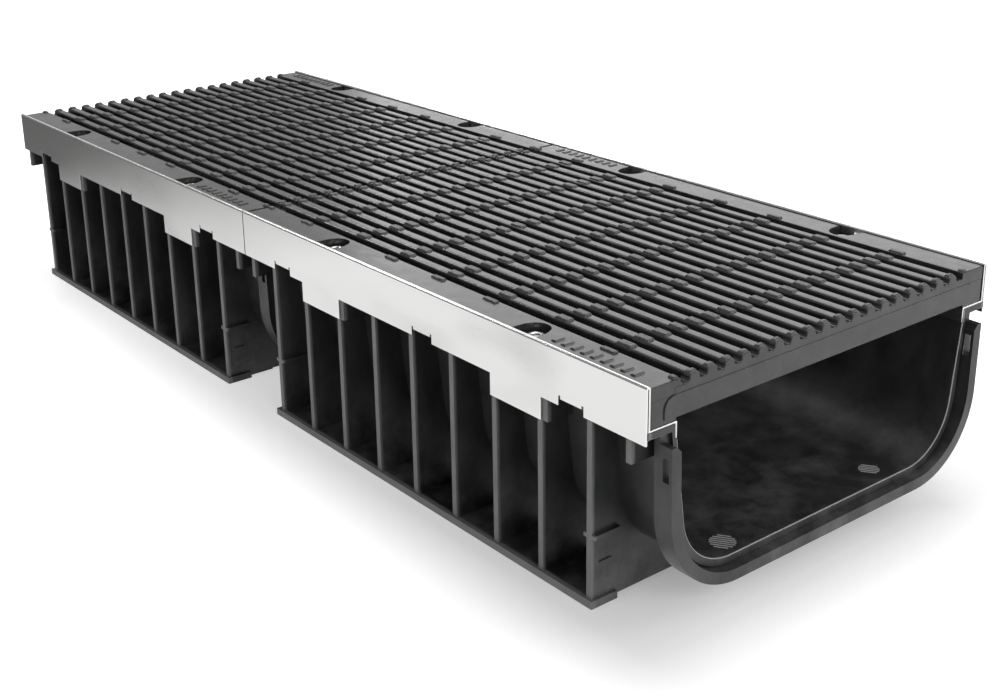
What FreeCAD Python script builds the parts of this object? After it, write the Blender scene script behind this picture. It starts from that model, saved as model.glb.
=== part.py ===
"""Channel drain, one metre long: two moulded channel modules joined end to end,
each with two folded edge rails and one slotted cast iron grate held by four bolts.

Frame: X runs along the channel towards the socket end, Z is up, and the origin is
under the middle of the whole, at the level the feet stand on. Lengths are millimetres.
"""
import FreeCAD, Part
import math
import os

import Sketcher

# Driving dimensions: alias, value, what it is
DIMENSIONS = (
    ("module_length", 500, "length of one channel module"),
    ("overall_width", 360, "width over the edge rails"),
    ("shelf_height", 150, "ground to the shelf that the grate rests on"),
    ("seat_depth", 30, "shelf to the top of the edge rails"),
    ("wall", 5, "thickness of the channel wall"),
    ("shelf_reach", 27.5, "rail's outer face to the inside of its lip"),
    ("wall_lean", 13.5, "how much nearer the middle the wall is at the floor than at the lip"),
    ("floor_height", 34.5, "ground to the channel's floor"),
    ("floor_thickness", 6, "thickness of the channel's floor"),
    ("floor_radius", 47, "inside radius between the floor and the wall"),
    ("flange_thickness", 4.5, "thickness of the channel's top flange"),
    ("rib_pitch", 50, "spacing of the outer ribs"),
    ("rib_first", 45, "module end to the middle of the first rib"),
    ("rib_count", 9, "ribs along one module"),
    ("rib_thickness", 5, "thickness of a rib"),
    ("rib_inset", 2.5, "rail's outer face to the ends of the ribs"),
    ("rib_ground_gap", 2.4, "ground to the lower edge of a rib"),
    ("ledge_height", 52, "ground to the underside of the small ledges on the end ribs"),
    ("ledge_thickness", 3, "thickness of a ledge"),
    ("ledge_length", 24, "length of a ledge across the channel"),
    ("ledge_reach", 3, "how far a ledge stands out from each face of its rib"),
    ("foot_inset", 0.5, "rail's outer face to the outer edge of the foot strips"),
    ("foot_breadth", 24, "breadth of one foot strip"),
    ("foot_height", 6, "thickness of a foot strip"),
    ("foot_start", 37, "module end to the start of the foot strips"),
    ("foot_end", 450, "module end to the end of the foot strips"),
    ("collar_reach", 8, "how far the socket collar stands past the module end"),
    ("collar_web", 5, "thickness of the web that carries the collar"),
    ("collar_drop", 7, "flange to the top of the collar"),
    ("collar_inset", 14.5, "rail's outer face to the collar at its top"),
    ("collar_lean", 2.5, "how much nearer the middle the collar is at its foot"),
    ("collar_gap", 0.2, "gap between the collar and the spigot end that it takes"),
    ("collar_lip", 8.7, "thickness of the collar's lip"),
    ("collar_radius", 66, "outside corner radius of the collar"),
    ("collar_chamfer", 4, "size of the chamfer at the inner top corners of the collar"),
    ("latch_width", 5.4, "width of the latch hole in the collar's side"),
    ("latch_height", 17, "height of the latch hole"),
    ("latch_drop", 8.5, "collar top to the latch hole"),
    ("gusset_thickness", 5, "thickness of the short gussets under the flange"),
    ("gusset_height", 22, "height of the short gussets"),
    ("gusset_spigot", 8.5, "spigot end to the first gusset"),
    ("gusset_socket", 15, "last gusset's far face to the socket end"),
    ("bolt_spacing", 250, "spacing of the bolts along one grate"),
    ("bolt_inset", 16, "rail's outer face to the middle of the bolts"),
    ("bolt_diameter", 8, "diameter of the bolt shank"),
    ("bolt_end", 4.1, "how far the bolt stands out past its nut plate"),
    ("bolt_head_width", 13, "width across the flats of the bolt head"),
    ("bolt_head_height", 5.3, "height of the bolt head"),
    ("bolt_clearance", 0.5, "gap beside the bolt shank in the openings it passes"),
    ("bolt_travel", 5, "how much longer than wide the bolt slots are, to take up tolerances"),
    ("thread_clearance", 0.05, "gap round the bolt shank in the nut plate"),
    ("housing_length", 58, "length of the nut housing under the flange"),
    ("housing_height", 21.5, "height of the nut housing under the flange"),
    ("housing_roof", 4, "thickness between the flange and the nut slot"),
    ("nut_length", 30, "length of a nut plate"),
    ("nut_breadth", 14, "breadth of a nut plate"),
    ("nut_thickness", 8, "thickness of a nut plate"),
    ("nut_clearance", 0.5, "gap round a nut plate in its slot"),
    ("sheet", 1.5, "thickness of the rail sheet"),
    ("hem_gap", 0.8, "gap between the two sheets of the rail"),
    ("rail_seat_gap", 0.2, "gap between the rail's outer sheet and the flange edge"),
    ("lip_drop", 12, "shelf top to the lower edge of the rail's inner lip"),
    ("lip_gap", 0.2, "gap between the rail's inner lip and its seat in the channel"),
    ("face_drop", 10, "shelf top to the lower edge of the rail's outer face"),
    ("tab_drop", 27, "shelf top to the lower edge of the rail's deep tabs"),
    ("tab_length", 55, "length of a deep tab"),
    ("tab_offset", 3.5, "how far the deep tabs sit from the bolts, towards the rail's start"),
    ("notch_length", 25, "length of a notch in the rail's lower edge"),
    ("notch_depth", 5, "depth of a notch"),
    ("notch_relief", 2, "width of the relief cut at each end of a notch"),
    ("relief_depth", 7.5, "depth of the relief cuts"),
    ("notch_first", 50, "rail start to the first notch"),
    ("notch_second", 250, "rail start to the second notch"),
    ("notch_third", 417, "rail start to the third notch"),
    ("grate_side_gap", 0.9, "gap between the grate and the rail's inner sheet"),
    ("grate_end_gap", 1.1, "gap between the grate and the module end"),
    ("grate_drop", 1.6, "rail top to the grate's top, which leaves room for cast grips"),
    ("bar_count", 18, "bars of one grate"),
    ("edge_slot", 8.4, "width of the slot between the outer bars and the side plates"),
    ("bar_width", 8.8, "width of a bar at its widest"),
    ("bar_top", 6.8, "width of a bar's flat top"),
    ("bar_bevel", 1.2, "height of the bevel along a bar's top edges"),
    ("bar_foot", 6, "width of a bar at its lower edge"),
    ("bar_rise", 5.4, "shelf top to the lower edge of the bars"),
    ("plate_width", 25.5, "width of a side plate of the grate"),
    ("plate_depth", 7.5, "thickness of a side plate"),
    ("comb_drop", 5, "grate top to the foot of the open slots in the end beams"),
    ("end_beam_gap", 2, "shelf top to the underside of the end beams"),
    ("end_beam", 8, "thickness of the end beams"),
    ("panel_proud", 0.7, "how far the end panel stands out of the beam"),
    ("panel_margin", 1.4, "lower edge of the end beam to the end panel"),
    ("panel_drop", 5, "comb foot to the top of the end panel"),
    ("cross_rib", 6, "thickness of a cross rib"),
    ("cross_rib_height", 13, "height of a cross rib"),
    ("pocket_width", 24, "width of a bolt pocket"),
    ("pocket_round", 11.5, "corner radius at the inner end of a bolt pocket"),
    ("pocket_depth", 10, "depth of a bolt pocket below the grate top"),
)


class Size:
    """A length that carries its value and the sheet expression it comes from."""

    def __init__(self, value, text):
        self.value = value
        self.text = text

    def __add__(self, other):
        other = as_size(other)
        return Size(self.value + other.value, f"({self.text} + {other.text})")

    def __sub__(self, other):
        other = as_size(other)
        return Size(self.value - other.value, f"({self.text} - {other.text})")

    def __rsub__(self, other):
        return as_size(other) - self

    def __mul__(self, factor):
        factor = as_size(factor)
        return Size(self.value * factor.value, f"({self.text} * {factor.text})")

    def __truediv__(self, divisor):
        divisor = as_size(divisor)
        return Size(self.value / divisor.value, f"({self.text} / {divisor.text})")

    def __neg__(self):
        return Size(-self.value, f"(0 - {self.text})")


def as_size(number):
    """A plain number as a Size; a Size stays as it is."""
    return number if isinstance(number, Size) else Size(float(number), repr(float(number)))


def make_sheet(document):
    """Write the driving dimensions to the spreadsheet and return them as Sizes."""
    sheet = document.addObject("Spreadsheet::Sheet", "Sizes")
    sizes = {}
    for row, (alias, value, meaning) in enumerate(DIMENSIONS, start=1):
        sheet.set(f"A{row}", meaning)
        sheet.set(f"B{row}", str(value))
        sheet.setAlias(f"B{row}", alias)
        sizes[alias] = Size(float(value), f"Sizes.{alias}")
    document.recompute()
    return sizes


doc = FreeCAD.newDocument("ChannelDrain")
S = make_sheet(doc)

# Places worked out from the driving dimensions, used by more than one piece
seam = -S["collar_reach"] / 2
rail_top = S["shelf_height"] + S["seat_depth"]
flange_top = S["shelf_height"] - S["sheet"]
flange_bottom = flange_top - S["flange_thickness"]
flange_edge = S["overall_width"] / 2 - S["sheet"] - S["rail_seat_gap"]
rail_inside = S["overall_width"] / 2 - S["sheet"] * 2 - S["hem_gap"]
grate_top = rail_top - S["grate_drop"]
grate_edge = rail_inside - S["grate_side_gap"]
grate_length = S["module_length"] - S["grate_end_gap"] * 2
plate_edge = grate_edge - S["plate_width"]
pocket_floor = grate_top - S["pocket_depth"]
nut_top = flange_top - S["housing_roof"]
nut_bottom = nut_top - S["nut_thickness"]
housing_floor = flange_bottom - S["housing_height"]
nut_middle = S["overall_width"] / 2 - S["bolt_inset"]
bolt_first = (S["module_length"] - S["bolt_spacing"]) / 2
lip_inside = S["overall_width"] / 2 - S["shelf_reach"]
floor_corner = lip_inside - S["wall_lean"]
lip_seat = lip_inside + S["sheet"] + S["lip_gap"]
lip_end = S["shelf_height"] - S["lip_drop"]


def bind(feature, name, size):
    """Tie one property of a feature to the sheet."""
    feature.setExpression(name, as_size(size).text)


def new_body(label, module):
    """An empty body whose own X starts at the spigot end of the given module."""
    body = doc.addObject("PartDesign::Body", label)
    body.Label = label
    bind(body, "Placement.Base.x", seam - S["module_length"] * (1 - module))
    return body


def new_sketch(body, name, plane, offset=0):
    """A sketch parallel to one of the body's own planes, at a distance along its normal."""
    sketch = body.newObject("Sketcher::SketchObject", name)
    support = [item for item in body.Origin.OriginFeatures if item.Role == plane][0]
    sketch.AttachmentSupport = [(support, "")]
    sketch.MapMode = "FlatFace"
    bind(sketch, "AttachmentOffset.Base.z", offset)
    return sketch


def fix_point(sketch, geometry, end, x, y):
    """Hold one point of the sketch at x, y measured from the sketch's origin."""
    for kind, size, axis in (("DistanceX", x, -2), ("DistanceY", y, -1)):
        size = as_size(size)
        if size.value == 0:
            sketch.addConstraint(Sketcher.Constraint("PointOnObject", geometry, end, axis))
        else:
            index = sketch.addConstraint(
                Sketcher.Constraint(kind, -1, 1, geometry, end, size.value))
            sketch.setExpression(f"Constraints[{index}]", size.text)


def corner_points(before, corner, after, radius):
    """Where a rounded corner leaves its two lines, its centre, and whether it turns left."""
    arriving = (corner - before).normalize()
    leaving = (after - corner).normalize()
    left = arriving.cross(leaving).z > 0
    turn = arriving.getAngle(leaving)
    setback = radius * math.tan(turn / 2)
    entry = corner - arriving * setback
    side = FreeCAD.Vector(-arriving.y, arriving.x, 0) * (1 if left else -1)
    return entry, corner + leaving * setback, entry + side * radius, left


def draw_outline(sketch, corners):
    """Draw one closed outline. A corner is (x, y), or (x, y, radius) where it is rounded."""
    places = [FreeCAD.Vector(as_size(c[0]).value, as_size(c[1]).value, 0) for c in corners]
    count = len(corners)
    entries = list(places)
    exits = list(places)
    arcs = {}
    for i, corner in enumerate(corners):
        if len(corner) == 3:
            radius = as_size(corner[2]).value
            entry, leave, centre, left = corner_points(
                places[i - 1], places[i], places[(i + 1) % count], radius)
            entries[i] = entry
            exits[i] = leave
            arcs[i] = (centre, radius, left)
    lines = []
    for i in range(count):
        segment = Part.LineSegment(exits[i], entries[(i + 1) % count])
        lines.append(sketch.addGeometry(segment, False))
    for i, corner in enumerate(corners):
        if i not in arcs:
            sketch.addConstraint(Sketcher.Constraint("Coincident", lines[i - 1], 2, lines[i], 1))
            fix_point(sketch, lines[i], 1, corner[0], corner[1])
            continue
        centre, radius, left = arcs[i]
        first, last = (entries[i], exits[i]) if left else (exits[i], entries[i])
        start = math.atan2(first.y - centre.y, first.x - centre.x)
        finish = math.atan2(last.y - centre.y, last.x - centre.x)
        if finish < start:
            finish += 2 * math.pi
        circle = Part.Circle(centre, FreeCAD.Vector(0, 0, 1), radius)
        arc = sketch.addGeometry(Part.ArcOfCircle(circle, start, finish), False)
        arriving_end, leaving_end = (1, 2) if left else (2, 1)
        sketch.addConstraint(
            Sketcher.Constraint("Tangent", lines[i - 1], 2, arc, arriving_end))
        sketch.addConstraint(Sketcher.Constraint("Tangent", arc, leaving_end, lines[i], 1))
        index = sketch.addConstraint(Sketcher.Constraint("Radius", arc, radius))
        bind(sketch, f"Constraints[{index}]", corner[2])
        apex = sketch.addGeometry(Part.Point(places[i]), True)
        fix_point(sketch, apex, 1, corner[0], corner[1])
        sketch.addConstraint(Sketcher.Constraint("PointOnObject", apex, 1, lines[i - 1]))
        sketch.addConstraint(Sketcher.Constraint("PointOnObject", apex, 1, lines[i]))


def draw_rectangle(sketch, x_low, x_high, y_low, y_high):
    """Draw one closed rectangle from its limits."""
    draw_outline(sketch, [(x_low, y_low), (x_high, y_low), (x_high, y_high), (x_low, y_high)])


def both_sides(corners):
    """Corners of the +Y half, bottom to top, joined to their mirror image across the middle."""
    mirrored = [(-as_size(corner[0]),) + tuple(corner[1:]) for corner in reversed(corners)]
    return list(corners) + mirrored


def pad(body, name, sketch, length):
    """Raise a sketch along its normal."""
    feature = body.newObject("PartDesign::Pad", name)
    feature.Profile = sketch
    bind(feature, "Length", length)
    body.Tip = feature
    return feature


def pocket(body, name, sketch, depth, along_normal=False):
    """Cut a sketch into the body, against its normal unless told otherwise."""
    feature = body.newObject("PartDesign::Pocket", name)
    feature.Profile = sketch
    feature.Reversed = along_normal
    bind(feature, "Length", depth)
    body.Tip = feature
    return feature


def repeat(body, name, feature, role, spacing, count, second=None):
    """Repeat a feature in a row, or in a lattice when a second (role, spacing, count) is given."""
    axes = {item.Role: item for item in body.Origin.OriginFeatures}
    row = body.newObject("PartDesign::LinearPattern", name)
    row.Originals = [feature]
    row.Direction = (axes[role], [""])
    row.Mode = "Spacing"
    bind(row, "Offset", spacing)
    bind(row, "Occurrences", count)
    if second:
        row.Direction2 = (axes[second[0]], [""])
        row.Mode2 = "Spacing"
        bind(row, "Offset2", second[1])
        bind(row, "Occurrences2", second[2])
    body.Tip = row
    return row


def mirror(body, name, feature):
    """Repeat a feature on the other side of the channel's middle plane."""
    planes = {item.Role: item for item in body.Origin.OriginFeatures}
    copy = body.newObject("PartDesign::Mirrored", name)
    copy.Originals = [feature]
    copy.MirrorPlane = (planes["XZ_Plane"], [""])
    body.Tip = copy
    return copy


def bolt_slots(sketch, sides, travel):
    """Draw the opening that each bolt passes, longer than wide by the given travel."""
    half_width = S["bolt_diameter"] / 2 + S["bolt_clearance"]
    half_length = half_width + as_size(travel) / 2
    for middle in (bolt_first, bolt_first + S["bolt_spacing"]):
        for side in sides:
            draw_rectangle(sketch, middle - half_length, middle + half_length,
                           side - half_width, side + half_width)


# Moulded channel module
def channel_line(share, top):
    """The +Y half of the channel's section, at a share of its thickness, up to a height."""
    offset = S["wall"] * share
    low = S["floor_height"] - S["floor_thickness"] * share
    return [(floor_corner + offset, low, S["floor_radius"] + offset), (lip_inside + offset, top)]


def wall_middle(height):
    """How far the middle of the wall's thickness is from the channel's middle plane."""
    low = S["floor_height"] - S["floor_thickness"] / 2
    rise = (as_size(height) - low) / (flange_bottom - low)
    return floor_corner + S["wall"] / 2 + S["wall_lean"] * rise


def under_flange(sketch, outer, low):
    """Draw an outline on each side, from the wall out to a distance and up to the flange."""
    corners = [(wall_middle(low), low), (outer, low), (outer, flange_bottom),
               (wall_middle(flange_bottom), flange_bottom)]
    draw_outline(sketch, corners)
    draw_outline(sketch, [(-as_size(c[0]), c[1]) for c in reversed(corners)])


def make_channel(label, module):
    """U-shaped channel with top flanges, ribs, foot strips, nut housings and a socket collar."""
    body = new_body(label, module)

    section = new_sketch(body, f"{label}_section", "YZ_Plane")
    inner = channel_line(0, lip_end - S["lip_gap"])
    draw_outline(section, both_sides(channel_line(1, flange_bottom) + [
        (flange_edge, flange_bottom), (flange_edge, flange_top),
        (lip_seat, flange_top), (lip_seat, inner[1][1]), inner[1], inner[0]]))
    pad(body, f"{label}_wall", section, S["module_length"])

    core_corner, core_top = channel_line(1 / 2, flange_bottom)
    rib_low = S["rib_ground_gap"]
    rib_side = S["overall_width"] / 2 - S["rib_inset"]
    half_thickness = S["rib_thickness"] / 2
    ribs = new_sketch(body, f"{label}_rib_outline", "YZ_Plane", S["rib_first"] - half_thickness)
    draw_outline(ribs, both_sides([
        (rib_side, rib_low), (rib_side, flange_bottom), core_top, core_corner]))
    rib = pad(body, f"{label}_rib", ribs, S["rib_thickness"])
    repeat(body, f"{label}_ribs", rib, "X_Axis", S["rib_pitch"], S["rib_count"])

    ledges = new_sketch(body, f"{label}_ledge_outline", "YZ_Plane",
                        S["rib_first"] - half_thickness - S["ledge_reach"])
    ledge_top = S["ledge_height"] + S["ledge_thickness"]
    for low, high in ((rib_side - S["ledge_length"], rib_side),
                      (-rib_side, S["ledge_length"] - rib_side)):
        draw_rectangle(ledges, low, high, S["ledge_height"], ledge_top)
    ledge = pad(body, f"{label}_ledge", ledges, S["rib_thickness"] + S["ledge_reach"] * 2)
    repeat(body, f"{label}_ledges", ledge, "X_Axis", S["rib_pitch"] * (S["rib_count"] - 1), 2)

    foot_outer = S["overall_width"] / 2 - S["foot_inset"]
    feet = new_sketch(body, f"{label}_foot_outline", "XY_Plane")
    for low, high in ((foot_outer - S["foot_breadth"], foot_outer),
                      (-foot_outer, S["foot_breadth"] - foot_outer)):
        draw_rectangle(feet, S["foot_start"], S["foot_end"], low, high)
    pad(body, f"{label}_feet", feet, S["foot_height"])

    collar_top = flange_bottom - S["collar_drop"]
    collar_side = S["overall_width"] / 2 - S["collar_inset"]
    collar_foot = collar_side - S["collar_lean"]
    mouth_side = collar_side - S["collar_lip"]
    mouth_low = S["floor_height"] - S["floor_thickness"] - S["collar_gap"]
    collar_outer = [(collar_foot, mouth_low - S["collar_lip"], S["collar_radius"]),
                    (collar_side, collar_top)]
    mouth = [(mouth_side + S["collar_chamfer"], collar_top),
             (mouth_side, collar_top - S["collar_chamfer"]),
             (collar_foot - S["collar_lip"], mouth_low, S["collar_radius"] - S["collar_lip"])]
    web = new_sketch(body, f"{label}_web_outline", "YZ_Plane",
                     S["module_length"] - S["collar_web"] - S["latch_width"] / 2)
    draw_outline(web, both_sides(collar_outer + [
        (collar_side, flange_bottom), core_top, core_corner]))
    pad(body, f"{label}_web", web, S["collar_web"])
    ring = new_sketch(body, f"{label}_collar_outline", "YZ_Plane",
                      S["module_length"] - S["latch_width"] / 2)
    draw_outline(ring, both_sides(collar_outer + mouth))
    pad(body, f"{label}_collar", ring, S["collar_reach"] + S["latch_width"] / 2)

    latch = new_sketch(body, f"{label}_latch_outline", "XZ_Plane", S["overall_width"] / 2)
    latch_top = collar_top - S["latch_drop"]
    draw_rectangle(latch, S["module_length"], S["module_length"] + S["latch_width"],
                   latch_top - S["latch_height"], latch_top)
    hole = pocket(body, f"{label}_latch", latch, S["overall_width"] / 2 - lip_inside)
    mirror(body, f"{label}_latches", hole)

    gussets = new_sketch(body, f"{label}_gusset_outline", "YZ_Plane", S["gusset_spigot"])
    under_flange(gussets, flange_edge, flange_bottom - S["gusset_height"])
    gusset = pad(body, f"{label}_gusset", gussets, S["gusset_thickness"])
    last = S["module_length"] - S["gusset_socket"] - S["gusset_thickness"]
    repeat(body, f"{label}_gussets", gusset, "X_Axis", last - S["gusset_spigot"], 2)

    housing = new_sketch(body, f"{label}_housing_outline", "YZ_Plane",
                         bolt_first - S["housing_length"] / 2)
    under_flange(housing, flange_edge, housing_floor)
    block = pad(body, f"{label}_housing", housing, S["housing_length"])
    repeat(body, f"{label}_housings", block, "X_Axis", S["bolt_spacing"], 2)

    slot = new_sketch(body, f"{label}_nut_slot_outline", "XZ_Plane", flange_edge)
    half_slot = S["nut_length"] / 2 + S["nut_clearance"]
    for middle in (bolt_first, bolt_first + S["bolt_spacing"]):
        draw_rectangle(slot, middle - half_slot, middle + half_slot,
                       nut_bottom - S["nut_clearance"], nut_top)
    slot_depth = flange_edge - nut_middle + S["nut_breadth"] / 2 + S["nut_clearance"]
    cut = pocket(body, f"{label}_nut_slot", slot, slot_depth)
    mirror(body, f"{label}_nut_slots", cut)

    passages = new_sketch(body, f"{label}_bolt_slot_outline", "XY_Plane", flange_top)
    bolt_slots(passages, (nut_middle, -nut_middle), S["bolt_travel"])
    pocket(body, f"{label}_bolt_slots", passages, flange_top - housing_floor)
    return body


# Folded edge rail
def make_rail(label, module, far_side):
    """Folded sheet: an outer face, a hemmed top, an inner face, a shelf and a short lip."""
    body = new_body(label, module)
    if far_side:
        body.Placement.Rotation = FreeCAD.Rotation(FreeCAD.Vector(0, 0, 1), 180)
        bind(body, "Placement.Base.x", seam + S["module_length"] * module)

    outside = S["overall_width"] / 2
    shelf = S["shelf_height"]
    sheet = S["sheet"]
    tab_end = shelf - S["tab_drop"]
    section = new_sketch(body, f"{label}_section", "YZ_Plane")
    draw_outline(section, [
        (-outside, tab_end), (-outside + sheet, tab_end),
        (-outside + sheet, rail_top - sheet), (-rail_inside - sheet, rail_top - sheet),
        (-rail_inside - sheet, shelf - sheet), (-lip_inside - sheet, shelf - sheet),
        (-lip_inside - sheet, lip_end), (-lip_inside, lip_end),
        (-lip_inside, shelf), (-rail_inside, shelf),
        (-rail_inside, rail_top, sheet), (-outside, rail_top, sheet)])
    pad(body, f"{label}_fold", section, S["module_length"])

    edge = shelf - S["face_drop"]
    starts = []
    for middle in (bolt_first, bolt_first + S["bolt_spacing"]):
        starts.append(middle - S["tab_offset"] - S["tab_length"] / 2)
    gaps = ((0, starts[0]), (starts[0] + S["tab_length"], starts[1]),
            (starts[1] + S["tab_length"], S["module_length"]))
    trims = new_sketch(body, f"{label}_trim_outline", "XZ_Plane", outside)
    below = tab_end - sheet
    for low, high in gaps:
        draw_rectangle(trims, low, high, below, edge)
    pocket(body, f"{label}_trim", trims, sheet + S["hem_gap"] / 2)

    notches = new_sketch(body, f"{label}_notch_outline", "XZ_Plane", outside)
    notch_top = edge + S["notch_depth"]
    relief_top = edge + S["relief_depth"]
    for first in (S["notch_first"], S["notch_second"], S["notch_third"]):
        last = first + S["notch_length"]
        draw_outline(notches, [
            (first, below), (last, below), (last, relief_top),
            (last - S["notch_relief"], relief_top), (last - S["notch_relief"], notch_top),
            (first + S["notch_relief"], notch_top), (first + S["notch_relief"], relief_top),
            (first, relief_top)])
    pocket(body, f"{label}_notches", notches, sheet + S["hem_gap"] / 2)

    passages = new_sketch(body, f"{label}_bolt_slot_outline", "XY_Plane", shelf)
    bolt_slots(passages, (-nut_middle,), S["bolt_travel"])
    pocket(body, f"{label}_bolt_slots", passages, sheet * 2)
    return body


# Cast iron grate
def make_grate(label, module):
    """Slotted grate: bevelled bars between two side beams, end combs and cross ribs."""
    body = new_body(label, module)
    start = S["grate_end_gap"]
    finish = S["module_length"] - S["grate_end_gap"]
    seat = S["shelf_height"]

    beams = new_sketch(body, f"{label}_beam_outline", "YZ_Plane", start)
    beam_inside = nut_middle * 2 - grate_edge
    right = [(grate_edge, seat), (grate_edge, grate_top), (plate_edge, grate_top),
             (plate_edge, grate_top - S["plate_depth"]),
             (beam_inside, grate_top - S["plate_depth"]), (beam_inside, seat)]
    draw_outline(beams, right)
    draw_outline(beams, [(-as_size(c[0]), c[1]) for c in reversed(right)])
    pad(body, f"{label}_beams", beams, grate_length)
    ends = new_sketch(body, f"{label}_end_outline", "YZ_Plane", start)
    comb = grate_top - S["comb_drop"]
    draw_rectangle(ends, -beam_inside, beam_inside, seat + S["end_beam_gap"], comb)
    end = pad(body, f"{label}_end", ends, S["end_beam"])
    repeat(body, f"{label}_ends", end, "X_Axis", grate_length - S["end_beam"], 2)

    bar_middle = plate_edge - S["edge_slot"] - S["bar_width"] / 2
    bar_low = seat + S["bar_rise"]
    widest = grate_top - S["bar_bevel"]
    bars = new_sketch(body, f"{label}_bar_outline", "YZ_Plane", start)
    half_bar = [(bar_middle + S["bar_foot"] / 2, bar_low),
                (bar_middle + S["bar_width"] / 2, widest),
                (bar_middle + S["bar_top"] / 2, grate_top)]
    other_half = [(bar_middle - S["bar_top"] / 2, grate_top),
                  (bar_middle - S["bar_width"] / 2, widest),
                  (bar_middle - S["bar_foot"] / 2, bar_low)]
    draw_outline(bars, [(-as_size(c[0]), c[1]) for c in half_bar + other_half])
    bar = pad(body, f"{label}_bar", bars, grate_length)
    repeat(body, f"{label}_bars", bar, "Y_Axis", bar_middle * 2 / (S["bar_count"] - 1),
           S["bar_count"])

    ribs = new_sketch(body, f"{label}_cross_rib_outline", "YZ_Plane",
                      bolt_first - S["cross_rib"] / 2)
    rib_low = seat + S["end_beam_gap"]
    draw_rectangle(ribs, -beam_inside, beam_inside, rib_low, rib_low + S["cross_rib_height"])
    rib = pad(body, f"{label}_cross_rib", ribs, S["cross_rib"])
    repeat(body, f"{label}_cross_ribs", rib, "X_Axis", S["bolt_spacing"], 2)

    panel = new_sketch(body, f"{label}_panel_outline", "YZ_Plane", finish)
    panel_low = seat + S["end_beam_gap"] + S["panel_margin"]
    draw_rectangle(panel, -nut_middle, nut_middle, panel_low, comb - S["panel_drop"])
    pad(body, f"{label}_panel", panel, S["panel_proud"])

    sockets = new_sketch(body, f"{label}_pocket_outline", "XY_Plane", grate_top)
    half_pocket = S["pocket_width"] / 2
    beyond = grate_edge + S["grate_side_gap"]
    for middle in (bolt_first, bolt_first + S["bolt_spacing"]):
        for side in (1, -1):
            draw_outline(sockets, [
                (middle + half_pocket, beyond * side),
                (middle - half_pocket, beyond * side),
                (middle - half_pocket, (nut_middle - half_pocket) * side, S["pocket_round"]),
                (middle + half_pocket, (nut_middle - half_pocket) * side, S["pocket_round"])])
    pocket(body, f"{label}_pockets", sockets, S["pocket_depth"])

    passages = new_sketch(body, f"{label}_bolt_slot_outline", "XY_Plane", pocket_floor)
    bolt_slots(passages, (nut_middle, -nut_middle), 0)
    pocket(body, f"{label}_bolt_slots", passages, pocket_floor - seat)
    return body


# Bolts and nut plates, in groups of four like pieces
def place(feature, x, y, z):
    """Tie a primitive's position to the sheet."""
    for axis, size in (("x", x), ("y", y), ("z", z)):
        bind(feature, f"Placement.Base.{axis}", size)


def bolt_places(module):
    """Centres of the four bolts of one module."""
    start = seam - S["module_length"] * (1 - module)
    for along in (bolt_first, bolt_first + S["bolt_spacing"]):
        for across in (-nut_middle, nut_middle):
            yield start + along, across


def make_bolts(label, module):
    """Four hexagon head bolts whose heads sit on the pocket floors."""
    bolts = []
    for number, (x, y) in enumerate(bolt_places(module), start=1):
        head = doc.addObject("Part::Prism", f"{label}_head_{number}")
        head.Polygon = 6
        bind(head, "Circumradius", S["bolt_head_width"] / math.sqrt(3))
        bind(head, "Height", S["bolt_head_height"])
        place(head, x, y, pocket_floor)
        shank = doc.addObject("Part::Cylinder", f"{label}_shank_{number}")
        bind(shank, "Radius", S["bolt_diameter"] / 2)
        bind(shank, "Height", pocket_floor - nut_bottom + S["bolt_end"])
        place(shank, x, y, nut_bottom - S["bolt_end"])
        bolt = doc.addObject("Part::Fuse", f"{label}_bolt_{number}")
        bolt.Base = head
        bolt.Tool = shank
        bolts.append(bolt)
    group = doc.addObject("Part::Compound", label)
    group.Label = label
    group.Links = bolts
    return group


def make_nuts(label, module):
    """Four tapped nut plates held up against the roofs of their slots."""
    nuts = []
    for number, (x, y) in enumerate(bolt_places(module), start=1):
        plate = doc.addObject("Part::Box", f"{label}_plate_{number}")
        bind(plate, "Length", S["nut_length"])
        bind(plate, "Width", S["nut_breadth"])
        bind(plate, "Height", S["nut_thickness"])
        place(plate, x - S["nut_length"] / 2, y - S["nut_breadth"] / 2, nut_bottom)
        thread = doc.addObject("Part::Cylinder", f"{label}_thread_{number}")
        bind(thread, "Radius", S["bolt_diameter"] / 2 + S["thread_clearance"])
        bind(thread, "Height", S["nut_thickness"])
        place(thread, x, y, nut_bottom)
        nut = doc.addObject("Part::Cut", f"{label}_nut_{number}")
        nut.Base = plate
        nut.Tool = thread
        nuts.append(nut)
    group = doc.addObject("Part::Compound", label)
    group.Label = label
    group.Links = nuts
    return group


def main():
    """Build every piece, check it, and write one STEP file for each."""
    nodes = []
    for module, end in enumerate(("spigot_end", "socket_end")):
        nodes.append(make_channel(f"channel_{end}", module))
        nodes.append(make_rail(f"left_rail_{end}", module, False))
        nodes.append(make_rail(f"right_rail_{end}", module, True))
        nodes.append(make_grate(f"grate_{end}", module))
        nodes.append(make_bolts(f"grate_bolts_{end}", module))
        nodes.append(make_nuts(f"nut_plates_{end}", module))
    doc.recompute()
    for item in doc.Objects:
        if "Invalid" in item.State or "Error" in item.State:
            raise RuntimeError(f"{item.Label} failed: {item.State} {item.getStatusString()}")
    os.makedirs("parts", exist_ok=True)
    for node in nodes:
        if node.Shape.isNull() or not node.Shape.isValid():
            raise RuntimeError(f"{node.Label} has no valid shape")
        node.Shape.exportStep(f"parts/{node.Label}.step")
        box = node.Shape.BoundBox
        print(f"{node.Label}: {len(node.Shape.Solids)} solids, {node.Shape.Volume:.0f} mm3,"
              f" {box.XLength:.1f} x {box.YLength:.1f} x {box.ZLength:.1f} mm")


main()
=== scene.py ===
"""Channel drain: cast grates, bolts, moulding details, finishes and a studio round the frame.

Lengths are metres. X runs along the channel towards its socket end, Z is up, and the
drain stands on the floor at Z = 0.
"""

import math
import random

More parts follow.
